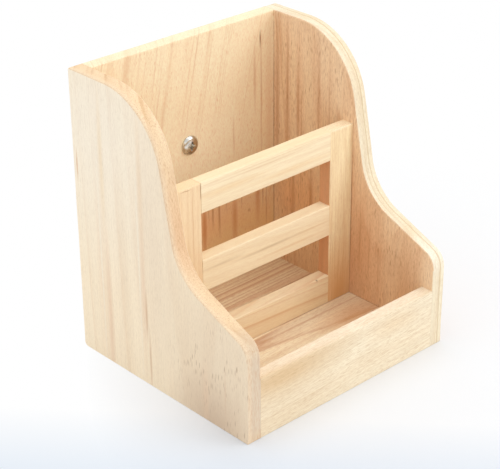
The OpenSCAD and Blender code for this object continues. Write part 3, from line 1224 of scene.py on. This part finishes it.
def make_hardware():
    """The fastening that clamps the box to a cage, and the hidden dowels."""
    make_bolt(plated_metal("nickel plate", (226, 224, 216), 0.17, 500.0, 0.08))
    make_washer(plated_metal("zinc plate", (200, 202, 204), 0.32, 300.0, 0.12))
    make_wing_nut(plated_metal("cast zinc plate", (192, 194, 196), 0.36, 900.0, 0.16))
    beech = dowel_beech()
    for name, node in nodes.items():
        if name.endswith("_dowels"):
            node.data.materials.clear()
            node.data.materials.append(beech)


# ---------------------------------------------------------------- stage and light

FLOOR_SIZE = 12.0
FLOOR_DROP = 0.05 * MM
WHITE = (1, 1, 1, 1)

# The table's paint: as it lights the box, and as the camera sees it.
FLOOR_PAINT = (0.9, 0.9, 0.9, 1)
FLOOR_PAINT_SEEN = (0.81, 0.82, 0.84, 1)

# How the shaded paint gives way to plain white, as from, to, least and most: outwards from
# the middle, and towards the left.
FLOOR_GLOW = (0.10, 0.30, 0.13, 1.0)
FLOOR_LEFT_WAY = (-0.73, 0.68, 0.0)
FLOOR_GLOW_LEFT = (0.01, 0.125, 0.0, 1.0)

# The cool tint in front of the box: its colour, and where it sets in and ends.
FLOOR_TINT = (0.8, 0.86, 0.935, 1.0)
FLOOR_FADE_WAY = (0.74, 0.68, 0.0)
FLOOR_FADE = (-0.08, -0.145)
FLOOR_FADE_END = (0.27, 0.19)

WORLD_LIGHT = 0.86
LAMPS_AIM = (0, 0, 0.08)


def make_floor():
    """A plain white table that keeps the box's soft shadow."""
    bm = bmesh.new()
    bmesh.ops.create_grid(bm, x_segments=1, y_segments=1, size=FLOOR_SIZE / 2)
    bmesh.ops.translate(bm, verts=bm.verts, vec=(0, 0, -FLOOR_DROP))
    floor = object_from(bm, "stage_floor")
    material, tree, shader = new_material("white table")
    tree.nodes.remove(shader)
    place = object_place(tree)
    away = length_of(tree, place)
    fade = product_of(
        tree,
        spread(tree, reach_along(tree, place, FLOOR_FADE_WAY), *FLOOR_FADE),
        spread(tree, away, *FLOOR_FADE_END),
    )
    tint = blend_colours(tree, fade, WHITE, FLOOR_TINT)
    matt = add_node(tree, "BsdfDiffuse", {"Color": FLOOR_PAINT})
    paint_seen = blend_colours(tree, 1.0, tint, FLOOR_PAINT_SEEN, "MULTIPLY")
    matt_seen = add_node(tree, "BsdfDiffuse", {"Color": paint_seen})
    lit = add_node(tree, "Emission", {"Color": tint, "Strength": 1.0})
    across = reach_along(tree, place, FLOOR_LEFT_WAY)
    glow = number_of(
        tree, spread(tree, away, *FLOOR_GLOW), spread(tree, across, *FLOOR_GLOW_LEFT)
    )
    glow = number_of(tree, glow, 1.0, "MINIMUM")
    seen = add_node(tree, "MixShader", {0: glow, 1: matt_seen.outputs[0], 2: lit.outputs[0]})
    by_camera = add_node(tree, "LightPath").outputs["Is Camera Ray"]
    mixed = add_node(
        tree, "MixShader", {0: by_camera, 1: matt.outputs[0], 2: seen.outputs[0]}
    )
    tree.links.new(mixed.outputs[0], tree.nodes["Material Output"].inputs["Surface"])
    floor.data.materials.append(material)


def make_world():
    """An even white surround, at full white where the camera or a reflection meets it."""
    world = bpy.data.worlds.new("white surround")
    world.use_nodes = True
    tree = world.node_tree
    rays = add_node(tree, "LightPath").outputs
    seen = number_of(tree, rays["Is Camera Ray"], rays["Is Glossy Ray"], "MAXIMUM")
    seen = number_of(tree, seen, rays["Is Transmission Ray"], "MAXIMUM")
    surround = tree.nodes["Background"]
    surround.inputs["Color"].default_value = WHITE
    fill(tree, surround.inputs["Strength"], spread(tree, seen, 0.0, 1.0, WORLD_LIGHT, 1.0))
    scene.world = world


def add_lamp(name, place, size, power):
    """A soft square lamp that looks at the box."""
    data = bpy.data.lights.new(name, "AREA")
    data.shape = "SQUARE"
    data.size = size
    data.energy = power
    lamp = bpy.data.objects.new(name, data)
    lamp.location = place
    aim = Vector(LAMPS_AIM) - Vector(place)
    lamp.rotation_euler = aim.to_track_quat("-Z", "Y").to_euler()
    scene.collection.objects.link(lamp)


def light_scene():
    """Soft studio light, mostly from the front right and from above."""
    add_lamp("front right softbox", (0.75, -0.85, 0.85), 0.7, 4.5)
    add_lamp("left softbox", (-1.1, 0.2, 0.7), 0.8, 0.8)
    add_lamp("overhead softbox", (0.1, 0.1, 1.2), 0.9, 3.2)
    scene.view_settings.view_transform = "Standard"


make_camera()
make_boards()
make_hardware()
make_floor()
make_world()
light_scene()
